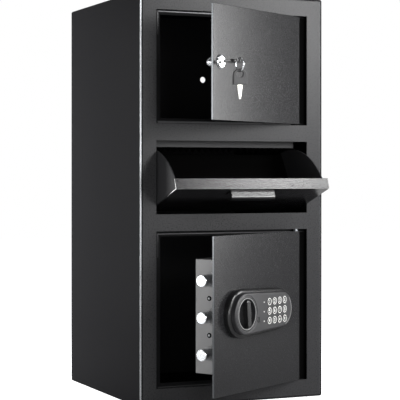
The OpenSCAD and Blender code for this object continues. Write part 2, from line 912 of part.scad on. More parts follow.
// Disc with a rounded front edge
module puck(r, h, edge) {
    rotate_extrude($fn = 72) {
        polygon(concat([[0, 0], [r, 0]],
            [for (a = [0 : 15 : 90]) [r - edge + edge * cos(a), h - edge + edge * sin(a)]],
            [[0, h]]));
    }
}

// Moulded outline that runs from the knob end to the smaller keypad end
module housing_tier(r0, r1, h, edge) {
    hull() {
        puck(r0, h, edge);
        translate([pad_dx, 0, 0]) puck(r1, h, edge);
    }
}

module housing_base() {
    color(dark) on_knob() difference() {
        housing_tier(base_r, base_small_r, base_h, base_round);
        translate([0, 0, -1]) cylinder(h = base_h + 2, r = spindle_r + run, $fn = 48);
    }
}

module housing_face() {
    color([0.15, 0.15, 0.16]) on_knob() difference() {
        translate([0, 0, base_h])
            housing_tier(base_r - tier_step, base_small_r - tier_step, face_h, face_round);
        translate([0, 0, base_h - 1]) cylinder(h = face_h + 2, r = dial_r, $fn = 96);
        for (col = [0 : 3], row = [-1 : 1])
            translate([button_dx + col * button_pitch, row * button_pitch, 0]) {
                translate([0, 0, base_h - 1])
                    cylinder(h = face_h + 2, r = button_r + free_gap, $fn = 48);
                translate([0, 0, base_h - 1])
                    cylinder(h = face_h + 1 - button_ledge,
                        r = button_r + button_flange + free_gap, $fn = 48);
            }
        for (row = [-1 : 1])
            translate([light_dx, row * button_pitch, housing_h - 2])
                cylinder(h = 3, r = light_r, $fn = 24);
        translate([cover_dx, -cover_drop, housing_h - 2])
            cylinder(h = 3, r = cover_r, $fn = 48);
    }
}

module override_cover() {
    color(dark) on_knob() translate([cover_dx, -cover_drop, housing_h - 2])
        cylinder(h = 2.6, r = cover_r, $fn = 48);
}

module status_lights() {
    color([0.7, 0.7, 0.7]) on_knob() for (row = [-1 : 1])
        translate([light_dx, row * button_pitch, housing_h - 2])
            cylinder(h = 2.3, r = light_r, $fn = 24);
}

// Keypad button with a flange under the housing's face
module button(col, row) {
    flange_z = housing_h - button_ledge - free_gap;
    color(dark) on_knob()
        translate([button_dx + col * button_pitch, -row * button_pitch, 0]) {
            translate([0, 0, flange_z - 2])
                cylinder(h = 2, r = button_r + button_flange, $fn = 48);
            translate([0, 0, flange_z])
                cylinder(h = housing_h + button_show - flange_z, r = button_r, $fn = 48);
        }
}

module button_1() { button(0, -1); }
module button_2() { button(1, -1); }
module button_3() { button(2, -1); }
module button_4() { button(3, -1); }
module button_5() { button(0, 0); }
module button_6() { button(1, 0); }
module button_7() { button(2, 0); }
module button_8() { button(3, 0); }
module button_9() { button(0, 1); }
module button_0() { button(1, 1); }
module button_star() { button(2, 1); }
module button_hash() { button(3, 1); }

// Knob: a dished disc with one straight grip across it
module knob() {
    r = dial_r - dial_clear;
    z0 = base_h + free_gap;
    top = z0 + dial_h + grip_h;
    color(dark) on_knob() difference() {
        union() {
            translate([0, 0, z0]) cylinder(h = dial_h, r = r, $fn = 96);
            intersection() {
                translate([0, 0, z0]) puck(r - 1, top - z0, 3);
                rotate([0, 0, grip_lean]) translate([-grip_w / 2, -r, z0])
                    cube([grip_w, 2 * r, top - z0]);
            }
        }
        translate([0, 0, z0 - 1]) cylinder(h = dial_h + 4, r = spindle_r, $fn = 48);
    }
}

module knob_spindle() {
    z0 = -crank_back - crank_t;
    z1 = base_h + free_gap + dial_h + 3;
    color(zinc) on_knob() translate([0, 0, z0]) cylinder(h = z1 - z0, r = spindle_r, $fn = 48);
}

// Crank on the spindle's inner end; its pin moves the bolt carrier
module knob_crank() {
    hub_r = spindle_r + 2.5;
    z0 = -crank_back - crank_t;
    pin_end = -carrier_back - carrier_t - 1;
    color(zinc) on_knob() difference() {
        union() {
            translate([0, 0, z0]) cylinder(h = crank_t, r = hub_r, $fn = 48);
            rotate([0, 0, 45]) {
                block([0, -crank_pin_r - 2, z0], [crank_r, crank_pin_r + 2, z0 + crank_t]);
                translate([crank_r, 0, z0]) cylinder(h = crank_t, r = crank_pin_r + 2, $fn = 48);
                translate([crank_r, 0, pin_end])
                    cylinder(h = z0 - pin_end, r = crank_pin_r, $fn = 48);
            }
        }
        translate([0, 0, z0 - 1]) cylinder(h = crank_t + 2, r = spindle_r, $fn = 48);
    }
}

// Boltwork

// Pressed box on the door's back, open to the door, with two folded flanges
module bolt_box() {
    x0 = -box_s;
    x1 = x0 + box_w;
    y1 = box_h / 2;
    color([0.2, 0.2, 0.2]) on_boltwork() difference() {
        union() {
            difference() {
                block([x0, -y1, -box_d], [x1, y1, -door_t]);
                block([x0 + box_t, -y1 + box_t, -box_d + box_t],
                    [x1 - box_t, y1 - box_t, -door_t + 1]);
            }
            for (side = [-1, 1])
                block([x0, side > 0 ? y1 : -y1 - box_flange, -door_t - box_t],
                    [x1, side > 0 ? y1 + box_flange : -y1, -door_t]);
        }
        for (i = bolts)
            translate([x0, i * bolt_pitch, -bolt_back]) along_x(-1, box_t + 1, bush_r);
    }
}

module bolt_bushes() {
    color([0.5, 0.5, 0.52]) on_boltwork() for (i = bolts)
        translate([-box_s, i * bolt_pitch, -bolt_back]) difference() {
            union() {
                along_x(-bush_flange_t, 0, bush_flange_r);
                along_x(0, box_t + bush_len, bush_r);
            }
            along_x(-bush_flange_t - 1, box_t + bush_len + 1, bolt_r + run);
        }
}

module battery_cover() {
    x0 = -box_s + box_w - 12;
    color([0.14, 0.14, 0.14]) on_boltwork()
        block([x0 - cell_w, -cell_h / 2, -box_d - cell_t], [x0, cell_h / 2, -box_d]);
}

module bolt_rods() {
    color(chrome) on_boltwork() for (i = bolts)
        translate([-bolt_end_s, i * bolt_pitch, -bolt_back]) rotate([0, 90, 0])
            rotate_extrude($fn = 64)
                polygon([[0, 0], [bolt_r - bolt_chamfer, 0], [bolt_r, bolt_chamfer],
                    [bolt_r, bolt_end_s - bolt_root_s], [0, bolt_end_s - bolt_root_s]]);
}

// Plate with a slot for the crank's pin and a folded tab for each bolt
module bolt_carrier() {
    x0 = -bolt_root_s;
    pin_x = -knob_s + crank_up;
    pin_y = knob_z - bolt_z;
    x1 = pin_x + 10;
    y1 = bolt_pitch + bolt_r;
    half = crank_pin_r + slot_play;
    color(zinc) on_boltwork() difference() {
        union() {
            block([x0, -y1, -carrier_back - carrier_t], [x1, y1, -carrier_back]);
            for (i = bolts)
                block([-bolt_root_s, i * bolt_pitch - 8, -carrier_back],
                    [-bolt_root_s + carrier_t, i * bolt_pitch + 8, -bolt_back + 6]);
        }
        block([pin_x - half, pin_y + crank_up - half, -carrier_back - carrier_t - 1],
            [pin_x + half, pin_y + crank_r + half, -carrier_back + 1]);
    }
}

cabinet_wrapper();
back_plate();
front_plate();
upper_shelf();
drop_ledge();
drop_baffle();
drawer_strip();
upper_door_stop();
lower_door_stop();
upper_hinge_brackets();
lower_hinge_brackets();
drawer_bracket_left();
drawer_bracket_right();
drawer_tray();
drawer_side_left();
drawer_side_right();
drawer_back();
drawer_handle();
drawer_pins();
upper_door_plate();
upper_knuckles();
upper_hinge_pins();
lock_body();
lock_nut();
lock_plug();
lock_cam();
cam_screw();
key_blade();
key_head();
key_ring();
spare_blade();
spare_head();
lower_door_plate();
lower_knuckles();
lower_hinge_pins();
housing_base();
housing_face();
override_cover();
status_lights();
bolt_box();
bolt_bushes();
battery_cover();
knob();
knob_spindle();
knob_crank();
bolt_rods();
bolt_carrier();
button_1();
button_2();
button_3();
button_4();
button_5();
button_6();
button_7();
button_8();
button_9();
button_0();
button_star();
button_hash();
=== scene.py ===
# %% [markdown]
# # A drop safe with a deposit drawer
#
# The safe is folded and welded steel sheet under a black powder coat, with a keypad lock
# below, a tilting drawer in the middle and a key lock above. Its solids come from the packed
# frame, in metres, so every piece added here is placed from that frame and rides on one of
# its bodies. Sizes that are easier to read in millimetres are multiplied by MM.

# %% Load the frame
import json
import math

import bmesh
import bpy
from mathutils import Matrix, Vector


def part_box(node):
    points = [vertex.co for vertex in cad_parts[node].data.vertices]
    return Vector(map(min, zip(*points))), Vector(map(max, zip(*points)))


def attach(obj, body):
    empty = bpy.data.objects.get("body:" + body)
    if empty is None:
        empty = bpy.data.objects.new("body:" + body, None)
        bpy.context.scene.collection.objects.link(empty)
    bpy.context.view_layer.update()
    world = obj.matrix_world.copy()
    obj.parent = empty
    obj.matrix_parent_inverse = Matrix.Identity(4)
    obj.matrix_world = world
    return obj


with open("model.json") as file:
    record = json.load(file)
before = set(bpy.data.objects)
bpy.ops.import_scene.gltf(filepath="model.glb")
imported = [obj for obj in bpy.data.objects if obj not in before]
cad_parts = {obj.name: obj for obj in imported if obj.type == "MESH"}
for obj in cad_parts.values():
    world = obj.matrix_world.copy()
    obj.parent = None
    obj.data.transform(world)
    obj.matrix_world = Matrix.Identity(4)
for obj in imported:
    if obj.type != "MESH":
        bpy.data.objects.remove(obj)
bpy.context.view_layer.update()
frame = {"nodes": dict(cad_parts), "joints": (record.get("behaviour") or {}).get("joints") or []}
nodes = frame["nodes"]
joints = {joint["name"]: joint for joint in frame["joints"]}
MM = 0.001

# %% [markdown]
# ## Camera
#
# The photograph was taken level, from the front left, with a long lens. Its upright edges stay
# parallel, which means the camera was not tilted. The picture was framed lower than the lens's
# own axis, and a vertical shift does that without tilting the camera.

# %% Camera
CAMERA_PLACE = Vector((-1.0660, -2.4430, 0.3970))
CAMERA_TURN = 23.890
FOCAL_LENGTH = 128.99
FRAME_SHIFT = -0.0643

camera = bpy.data.objects.new("camera", bpy.data.cameras.new("camera"))
camera.data.lens = FOCAL_LENGTH
camera.data.sensor_width = 36.0
camera.data.shift_y = FRAME_SHIFT
camera.location = CAMERA_PLACE
camera.rotation_euler = (math.radians(90), 0, math.radians(-CAMERA_TURN))
bpy.context.scene.collection.objects.link(camera)
bpy.context.scene.camera = camera
print("camera to front:", round((CAMERA_PLACE - Vector((0, -0.18, 0.355))).length, 3), "m")

# %% [markdown]
# ## Two helpers for materials
#
# Colours are easiest to read as hex values from a picture, but a shader wants linear light, so
# one function converts them. Every node of every material is added by the second function: it
# takes the node's kind, its settings, and its inputs, where an input is a number, a colour or
# the output of another node.

# %% Colour and node helpers
def linear(hex_colour):
    """Turns an sRGB hex colour into linear RGBA."""
    channels = [int(hex_colour[i:i + 2], 16) / 255 for i in (1, 3, 5)]
    return [c / 12.92 if c <= 0.04045 else ((c + 0.055) / 1.055) ** 2.4 for c in channels] + [1]


def add(tree, kind, inputs=None, **settings):
    """Adds one node with its settings, and links or sets its inputs."""
    node = tree.nodes.new(kind)
    for name, value in settings.items():
        setattr(node, name, value)
    for name, value in (inputs or {}).items():
        if isinstance(value, bpy.types.NodeSocket):
            tree.links.new(value, node.inputs[name])
        else:
            node.inputs[name].default_value = value
    return node


def new_material(name):
    """An empty node material with its tree and its output."""
    material = bpy.data.materials.new(name)
    material.use_nodes = True
    material.node_tree.nodes.clear()
    output = add(material.node_tree, "ShaderNodeOutputMaterial")
    return material, material.node_tree, output


def per_metre(size_mm):
    """Noise scale that gives features of about this size in millimetres."""
    return 1 / (size_mm * MM)


# %% [markdown]
# ## Powder coat
#
# Powder coat is dry paint that is sprayed on and baked. It flows a little before it sets, so
# it has a fine grain and, under that, a soft wave like orange peel. The grain is about half a
# millimetre on the real safe, finer than a pixel, so it is drawn about one and a half to
# two and a half millimetres wide. The bump comes from both sizes. The roughness wanders by
# GLINT with the grain, which makes the coat sparkle where a lamp is mirrored.
#
# A coat can also carry painted light on whole narrow faces, such as a cut edge or a rounded
# corner, so the direction that a face looks in is enough to pick them. Those faces turn to
# metal: light grey as a painted highlight on rounded edges, and nearly black as painted shade
# on the cut edges of the openings.
#
# Each coat below is one batch of paint with its own gloss: the drawer is glossy, the doors
# and the front are satin, and the sides are dull. The specular level is a plain number on the
# shader, so that an exported model keeps it.

# %% Powder coat
def faces_facing(tree, towards, width):
    """1 on the faces that look in the given direction, else 0; width sets how far round."""
    normal = add(tree, "ShaderNodeTexCoord").outputs["Normal"]
    agrees = add(tree, "ShaderNodeVectorMath", {0: normal, 1: towards}, operation="DOT_PRODUCT")
    return add(tree, "ShaderNodeMapRange", {"Value": agrees.outputs["Value"],
                                            "From Min": 1 - width,
                                            "From Max": 1 - width / 2}).outputs["Result"]


GLINT = 0.07
WAVE_MM, WAVE_HEIGHT_MM = 9.0, 0.02


def powder_coat(name, colour, dust, roughness, shine, grain_mm, grain_height_mm, painted_light=None):
    """Baked powder coat: a grain and a soft wave in one paint film.

    The last argument, if given, is the direction, the width and the metal colour of faces
    that carry a painted highlight or painted shade.
    """
    material, tree, output = new_material(name)
    place = add(tree, "ShaderNodeTexCoord").outputs["Object"]
    grain = add(tree, "ShaderNodeTexNoise", {"Vector": place, "Scale": per_metre(grain_mm),
                                             "Detail": 2.0, "Roughness": 0.5})
    wave = add(tree, "ShaderNodeTexNoise", {"Vector": place, "Scale": per_metre(WAVE_MM),
                                            "Detail": 1.0})
    tint = add(tree, "ShaderNodeMix", {"Factor": grain.outputs["Fac"], "A": linear(colour),
                                       "B": linear(dust)}, data_type="RGBA")
    gloss = add(tree, "ShaderNodeMapRange", {"Value": grain.outputs["Fac"],
                                             "From Min": 0.3, "From Max": 0.7,
                                             "To Min": roughness - GLINT,
                                             "To Max": roughness + GLINT})
    fine = add(tree, "ShaderNodeBump", {"Height": grain.outputs["Fac"], "Strength": 1.0,
                                        "Distance": grain_height_mm * MM})
    peel = add(tree, "ShaderNodeBump", {"Height": wave.outputs["Fac"], "Strength": 1.0,
                                        "Distance": WAVE_HEIGHT_MM * MM,
                                        "Normal": fine.outputs["Normal"]})
    shader = add(tree, "ShaderNodeBsdfPrincipled",
                 {"Base Color": tint.outputs[2], "Roughness": gloss.outputs["Result"],
                  "Normal": peel.outputs["Normal"], "Specular IOR Level": shine})
    # The faces that look the given way turn to metal of the given colour: painted highlight or
    # shade.
    if painted_light:
        towards, width, steel = painted_light
        painted_light_mask = faces_facing(tree, towards, width)
        metal = add(tree, "ShaderNodeMix", {"Factor": painted_light_mask, "A": tint.outputs[2],
                                            "B": linear(steel)}, data_type="RGBA")
        tree.links.new(metal.outputs[2], shader.inputs["Base Color"])
        tree.links.new(painted_light_mask, shader.inputs["Metallic"])
    tree.links.new(shader.outputs["BSDF"], output.inputs["Surface"])
    return material


LEFT = (-1, 0, 0)
FRONT = (0, -1, 0)
DOOR_EDGE_OUT = (-0.8625, -0.506, 0)
LEFT_CORNER_OUT = (-0.7071, -0.7071, 0)
# Dark paint for the inside: its colour is painted shade.
SHADED_INSIDE_PAINT, SHADED_INSIDE_DUST, THIN_ROUGHNESS = "#0c0c0d", "#121213", 0.60

# Front plate: satin, with painted shade, nearly black, on the cut edges in its openings that
# look left.
coat = powder_coat("powder coat, black, baked", "#262628", "#333334", 0.30, 0.15, 2.4, 0.10,
                   painted_light=(LEFT, 0.3, "#060606"))
# Doors: smoother, with a painted highlight on the free edge, drawn as grey metal.
coat_door = powder_coat("powder coat, black, smooth doors", "#19191b", "#212122", 0.23, 0.25,
                        1.4, 0.032, painted_light=(DOOR_EDGE_OUT, 0.06, "#505254"))
# Wrapped sheet: textured and dull, with a painted highlight on the rounded front left corner,
# drawn as bright metal.
coat_wrapper = powder_coat("powder coat, black, textured, painted corner highlight", "#19191b", "#242425",
                           0.40, 0.001, 2.2, 0.10, painted_light=(LEFT_CORNER_OUT, 0.26, "#9a9c9e"))
coat_side = powder_coat("powder coat, black, textured", "#28282a", "#303031", 0.40, 0.001,
                        1.5, 0.10)
# Drawer: a glossy tray between dull cheeks.
coat_tray = powder_coat("powder coat, black, glossy drawer", "#070708", "#0e0e0f", 0.20, 0.60,
                        2.4, 0.12)
coat_drawer_side = powder_coat("powder coat, black, drawer cheeks", "#28282a", "#303031", 0.50,
                               0.015, 2.2, 0.10)
coat_box = powder_coat("powder coat, grey, bolt box", "#545455", "#606061", 0.38, 1.0, 1.5, 0.05)
# A light grey metal strip: a painted highlight on the rounded front left edge.
highlight_edge_paint = powder_coat("grey metal, painted edge highlight", "#8a8c8e", "#9c9ea0", 0.30, 0.5, 1.5, 0.02,
                          painted_light=(FRONT, 0.1, "#97999b"))
# Inside: the stop frames, the small parts and the baffle are dull, and drawn darker than the
# outside coats as painted shade.
coat_stop = powder_coat("powder coat, black, stop frames in painted shade", SHADED_INSIDE_PAINT, SHADED_INSIDE_DUST,
                        THIN_ROUGHNESS, 0.04, 1.5, 0.05)
coat_inside = powder_coat("powder coat, black, inside in painted shade", SHADED_INSIDE_PAINT, SHADED_INSIDE_DUST,
                          THIN_ROUGHNESS, 0.04, 1.5, 0.05)
# The baffle and the drawer's back are darkest, as painted shade deep inside.
coat_baffle = powder_coat("powder coat, black, baffle in painted shade", "#050505", "#080808", 0.70, 0.0,
                          1.5, 0.05)
coat_strip = powder_coat("powder coat, grey strip", "#2b2b2c", "#343435", 0.45, 0.2, 1.5, 0.05)
print("powder coats:", [m.name for m in bpy.data.materials])

# %% [markdown]
# ## Bright metal
#
# The bolts, the cam lock with its nut and the key ring are chrome plated. The cam, the lower
# hinge pins, the drawer's pins and the works inside the bolt box are zinc plated steel, and
# the blades of the keys are stamped nickel silver. Chrome is nearly a mirror with faint
# polishing marks, zinc is duller and cloudy, and nickel silver is warm. All are metals, so the
# colour sits in the reflection and the IOR stays at its default. A scratch texture could carry
# the marks, but noise of a real size needs no picture and no unwrapping.

# %% Plated metals
POLISH_DEPTH_MM = 0.01


def plated(name, colour, shade, roughness, marks_mm, spread):
    """Plated metal whose polish varies in streaks of the given size."""
    material, tree, output = new_material(name)
    place = add(tree, "ShaderNodeTexCoord").outputs["Object"]
    marks = add(tree, "ShaderNodeTexNoise", {"Vector": place, "Scale": per_metre(marks_mm),
                                             "Detail": 4.0, "Roughness": 0.7})
    tint = add(tree, "ShaderNodeMix", {"Factor": marks.outputs["Fac"], "A": linear(colour),
                                       "B": linear(shade)}, data_type="RGBA")
    gloss = add(tree, "ShaderNodeMapRange", {"Value": marks.outputs["Fac"],
                                             "To Min": roughness - spread,
                                             "To Max": roughness + spread})
    bump = add(tree, "ShaderNodeBump", {"Height": marks.outputs["Fac"], "Strength": 0.3,
                                        "Distance": POLISH_DEPTH_MM * MM})
    shader = add(tree, "ShaderNodeBsdfPrincipled",
                 {"Base Color": tint.outputs[2], "Metallic": 1.0,
                  "Roughness": gloss.outputs["Result"], "Normal": bump.outputs["Normal"]})
    tree.links.new(shader.outputs["BSDF"], output.inputs["Surface"])
    return material


chrome = plated("chrome plate, polished", "#eceef0", "#d9dcdf", 0.12, 3.0, 0.05)
bolt_chrome = plated("chrome plate, drawn bolts", "#eceef0", "#d0d3d6", 0.25, 2.0, 0.08)
zinc = plated("zinc plated steel", "#b6b9bd", "#8f9296", 0.34, 2.5, 0.08)
nickel = plated("nickel silver, stamped key", "#dfddd6", "#c4c2bb", 0.28, 1.5, 0.06)
print("metals:", chrome.name, bolt_chrome.name, zinc.name, nickel.name)

# %% [markdown]
# ## Plastics
#
# The lock housing and the knob are moulded ABS with a fine spark-eroded texture, which leaves
# a satin sheen, and the beads round the dial are polished in the same mould. The buttons are
# softer rubber and duller, and the spare key's head is grey PVC. The figures on the buttons
# are printed in white ink, and two beads of the housing are drawn light grey as a painted
# highlight. One recipe makes them all, because they differ only in colour, gloss and the grain
# of the mould.

# %% Moulded plastics and ink
MOULD_SPREAD = 0.04


def moulded(name, colour, roughness, grain_mm, grain_height_mm):
    """Moulded plastic or rubber with the fine texture of its mould."""
    material, tree, output = new_material(name)
    place = add(tree, "ShaderNodeTexCoord").outputs["Object"]
    grain = add(tree, "ShaderNodeTexNoise", {"Vector": place, "Scale": per_metre(grain_mm),
                                             "Detail": 2.0})
    gloss = add(tree, "ShaderNodeMapRange", {"Value": grain.outputs["Fac"],
                                             "To Min": roughness - MOULD_SPREAD,
                                             "To Max": roughness + MOULD_SPREAD})
    bump = add(tree, "ShaderNodeBump", {"Height": grain.outputs["Fac"], "Strength": 0.6,
                                        "Distance": grain_height_mm * MM})
    shader = add(tree, "ShaderNodeBsdfPrincipled",
                 {"Base Color": linear(colour), "Roughness": gloss.outputs["Result"],
                  "Normal": bump.outputs["Normal"]})
    tree.links.new(shader.outputs["BSDF"], output.inputs["Surface"])
    return material


abs_base = moulded("ABS, black, spark textured", "#161617", 0.24, 0.8, 0.02)
abs_gloss = moulded("ABS, charcoal, polished beads", "#3a3a3c", 0.16, 0.8, 0.004)
abs_face = moulded("ABS, charcoal, fine satin", "#242426", 0.34, 0.8, 0.015)
rubber = moulded("rubber, black keys", "#1b1b1c", 0.55, 0.9, 0.02)
key_plastic = moulded("PVC, dark grey key head", "#2c2c2e", 0.42, 0.8, 0.02)
bead_highlight_paint = moulded("light grey, painted highlight on beads", "#8c8c8c", 0.3, 0.6, 0.005)
ink = moulded("white ink, pad printed", "#e9e9e6", 0.5, 0.6, 0.005)
lens = moulded("clear acrylic lens", "#c9c9c6", 0.18, 1.0, 0.002)
print("plastics:", [m.name for m in (abs_base, abs_gloss, abs_face, rubber, key_plastic, lens)])

# %% [markdown]
# ## Finishes on the frame's own solids
#
# The frame's solids have the right shapes already, so each keeps its mesh and only gets a
# finish. One table says which finish covers which solids, and a solid that is missing from it
# shows up in the print.

# %% Finish of each solid
FINISH = {
    coat: ["front_plate"],
    coat_door: ["upper_door_plate", "lower_door_plate"],
    coat_tray: ["drawer_tray", "drawer_handle"],
    coat_wrapper: ["cabinet_wrapper"],
    coat_side: ["back_plate"],
    coat_drawer_side: ["drawer_side_left", "drawer_side_right"],
    coat_box: ["bolt_box", "bolt_bushes"],
    coat_baffle: ["drop_baffle", "drawer_back"],
    coat_inside: ["upper_shelf", "drop_ledge", "upper_hinge_brackets",
                  "lower_hinge_brackets", "drawer_bracket_left", "drawer_bracket_right",
                  "upper_knuckles", "lower_knuckles", "upper_hinge_pins"],
    coat_stop: ["upper_door_stop", "lower_door_stop"],
    coat_strip: ["drawer_strip", "battery_cover"],
    chrome: ["lock_body", "lock_plug", "lock_nut", "key_ring"],
    bolt_chrome: ["bolt_rods"],
    zinc: ["drawer_pins", "lower_hinge_pins", "lock_cam",
           "cam_screw", "knob_spindle", "knob_crank", "bolt_carrier"],
    nickel: ["key_blade", "spare_blade"],
    key_plastic: ["spare_head"],
    abs_base: ["key_head", "housing_base", "knob", "override_cover"],
    abs_face: ["housing_face"],
    rubber: [name for name in nodes if name.startswith("button_")],
    lens: ["status_lights"],
}
for finish, names in FINISH.items():
    for name in names:
        for slot in nodes[name].material_slots:
            slot.material = finish
dressed = {name for names in FINISH.values() for name in names}
print("dressed:", len(dressed), "left:", sorted(set(nodes) - dressed))

# %% [markdown]
# ## Rounded edges
#
# No edge of folded sheet or painted plate is perfectly sharp, and the small radius is what
# catches the light. Modifiers add it without touching the mesh: a weld joins the split corners
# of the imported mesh, a bevel rounds every sharp edge by a fraction of a millimetre, and
# weighted normals keep the flat faces flat.

# %% Edge radius of each solid
EDGE_MM = {"cabinet_wrapper": 0.9, "front_plate": 0.5, "drawer_tray": 0.8, "drawer_handle": 0.6,
           "upper_door_plate": 0.4, "lower_door_plate": 0.4, "key_head": 0.8, "spare_head": 0.8,
           "knob": 1.2, "bolt_box": 0.6, "key_ring": 0, "key_blade": 0.2, "spare_blade": 0.2}
PLAIN_EDGE_MM, WELD_MM, SHARP_DEGREES = 0.3, 0.005, 40


def round_edges(solid, radius):
    """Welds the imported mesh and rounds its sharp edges."""
    weld = solid.modifiers.new("weld", "WELD")
    weld.merge_threshold = WELD_MM * MM
    if radius > 0:
        bevel = solid.modifiers.new("edge radius", "BEVEL")
        bevel.width = radius
        bevel.segments = 3
        bevel.limit_method = "ANGLE"
        bevel.angle_limit = math.radians(SHARP_DEGREES)
        bevel.use_clamp_overlap = True
    normals = solid.modifiers.new("weighted normals", "WEIGHTED_NORMAL")
    normals.keep_sharp = True


for name in nodes:
    if name in dressed:
        round_edges(nodes[name], EDGE_MM.get(name, PLAIN_EDGE_MM) * MM)
print("edges rounded:", len(dressed), "widest:", max(EDGE_MM.values()), "mm")

# %% [markdown]
# ## Placing small pieces
#
# A print or a screw is drawn flat in millimetres and then laid on a face of the safe. A
# `Seat` is such a face: a centre, a direction across, a direction up and the way out. Its
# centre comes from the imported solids, so a print stays on its button if the button moves.

# %% Seats
class Seat:
    """A place on a face: x runs across, y runs up and z points out of the face."""
    def __init__(self, centre, across, up):
        self.centre, self.across, self.up = centre, across, up
        self.out = across.cross(up)

    def at(self, x, y, z=0.0):
        """World point of a point given in millimetres."""
        return self.centre + (self.across * x + self.up * y + self.out * z) * MM


def outer_flat(name, out):
    """Middle of a solid's outermost flat in the direction `out`."""
    points = [v.co for v in nodes[name].data.vertices]
    far = max(p.dot(out) for p in points)
    flat = [p for p in points if far - p.dot(out) < 0.01 * MM]
    lows = Vector([min(p[i] for p in flat) for i in range(3)])
    highs = Vector([max(p[i] for p in flat) for i in range(3)])
    return (lows + highs) / 2


def piece(name, mesh, material, body):
    """Links a new mesh with one finish and lets it ride on a body."""
    made = bpy.data.objects.new(name, mesh)
    mesh.materials.append(material)
    bpy.context.scene.collection.objects.link(made)
    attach(made, body)
    return made


UP = Vector((0, 0, 1))
lock_out = Vector(joints["plug_turn"]["axis"])
knob_out = Vector(joints["knob_turn"]["axis"])
print("upper door faces", [round(v, 3) for v in lock_out],
      "lower door faces", [round(v, 3) for v in knob_out])

# %% [markdown]
# ## Strokes
#
# Print, strips and fillers are all lines of an even width with square sides. A curve object
# with a bevel could draw them, but its ends and corners are hard to keep square. Here each
# point of the line is widened to both sides, corners are mitred, and the strip is raised.

# %% Strokes
def stroke_sides(points, width):
    """Left and right side of a line, mitred; a line that ends where it starts is closed."""
    closed = points[0] == points[-1]
    line = [Vector(p) for p in (points[:-1] if closed else points)]
    sides = []
    for i, here in enumerate(line):
        before = line[i - 1] if closed or i > 0 else None
        after = line[(i + 1) % len(line)] if closed or i < len(line) - 1 else None
        a = (here - before).normalized() if before is not None else (after - here).normalized()
        b = (after - here).normalized() if after is not None else a
        along = (a + b).normalized()
        normal = Vector((-along.y, along.x))
        reach = width / 2 / max(0.5, normal.dot(Vector((-a.y, a.x))))
        sides.append((here + normal * reach, here - normal * reach))
    return sides, closed


def add_stroke(work, seat, points, width, height, base=0.0):
    """Adds a raised strip with square sides along a line to a bmesh."""
    sides, closed = stroke_sides(points, width)
    rows = []
    for left, right in sides:
        rows.append([work.verts.new(seat.at(*side, z)) for side, z in
                     ((left, base), (left, base + height), (right, base + height), (right, base))])
    pairs = list(zip(rows, rows[1:])) + ([(rows[-1], rows[0])] if closed else [])
    for near, far in pairs:
        for i in range(4):
            j = (i + 1) % 4
            work.faces.new((near[i], near[j], far[j], far[i]))
    if not closed:
        work.faces.new(rows[0])
        work.faces.new(rows[-1])


def circle_points(radius, count=40, centre=(0, 0)):
    """Closed circle as a line."""
    turn = [2 * math.pi * i / count for i in range(count)]
    ring = [(centre[0] + radius * math.cos(t), centre[1] + radius * math.sin(t)) for t in turn]
    return ring + ring[:1]


def finished_mesh(name, work):
    """Turns a bmesh into a mesh with its normals outward."""
    bmesh.ops.recalc_face_normals(work, faces=work.faces)
    mesh = bpy.data.meshes.new(name)
    work.to_mesh(mesh)
    work.free()
    return mesh


print("a ring of", len(circle_points(1)) - 1, "points is drawn as a stroke")

# %% [markdown]
# ## Keypad prints
#
# Each button carries a white ring and a white figure, printed with a pad on the moulded key.
# The print is a film of ink, so it is a few hundredths of a millimetre high. A text object
# could give the figures, but its outline is finer than the broad strokes of such prints. Each
# figure is a line on a square from -1 to 1, which is scaled to the figure's real size.

# %% Keypad prints
FIGURES = {
    "1": [[(-0.5, 0.6), (0.15, 1), (0.15, -1)]],
    "2": [[(-0.9, 0.5), (-0.6, 0.88), (0, 1), (0.65, 0.85), (0.85, 0.45), (0.6, 0.0),
           (-0.9, -1), (0.95, -1)]],
    "3": [[(-0.85, 0.7), (-0.4, 0.97), (0.3, 0.97), (0.8, 0.6), (0.6, 0.15), (0, 0.02),
           (0.65, -0.15), (0.9, -0.55), (0.5, -0.93), (-0.3, -1), (-0.9, -0.7)]],
    "4": [[(0.4, -1), (0.4, 1), (-0.95, -0.45), (0.95, -0.45)]],
    "5": [[(0.8, 1), (-0.7, 1), (-0.8, 0.15), (0, 0.3), (0.7, 0.1), (0.9, -0.4), (0.5, -0.9),
           (-0.2, -1), (-0.85, -0.75)]],
    "6": [[(0.7, 0.8), (0.1, 1), (-0.55, 0.7), (-0.85, 0), (-0.75, -0.65), (0, -1),
           (0.7, -0.75), (0.85, -0.3), (0.5, 0.1), (-0.1, 0.15), (-0.75, -0.2)]],
    "7": [[(-0.85, 1), (0.85, 1), (-0.2, -1)]],
    "8": [[(0, 0.05), (0.65, 0.3), (0.65, 0.75), (0, 1), (-0.65, 0.75), (-0.65, 0.3), (0, 0.05)],
          [(0, 0.05), (0.85, -0.3), (0.8, -0.75), (0, -1), (-0.8, -0.75), (-0.85, -0.3),
           (0, 0.05)]],
    "9": [[(-0.7, -0.8), (-0.1, -1), (0.55, -0.7), (0.85, 0), (0.75, 0.65), (0, 1),
           (-0.7, 0.75), (-0.85, 0.3), (-0.5, -0.1), (0.1, -0.15), (0.75, 0.2)]],
    "0": [[(0, 1), (-0.65, 0.75), (-0.85, 0), (-0.65, -0.75), (0, -1), (0.65, -0.75),
           (0.85, 0), (0.65, 0.75), (0, 1)]],
    "star": [[(0, 0.9), (0, -0.9)], [(-0.95, 0.5), (0.95, -0.5)], [(-0.95, -0.5), (0.95, 0.5)]],
    "hash": [[(-0.45, 0.95), (-0.45, -0.95)], [(0.45, 0.95), (0.45, -0.95)],
             [(-0.95, 0.4), (0.95, 0.4)], [(-0.95, -0.4), (0.95, -0.4)]],
}
FIGURE_HALF_W, FIGURE_HALF_H, FIGURE_LINE = 1.7, 2.7, 0.75
RING_R, RING_LINE, INK_HEIGHT = 5.5, 0.9, 0.06


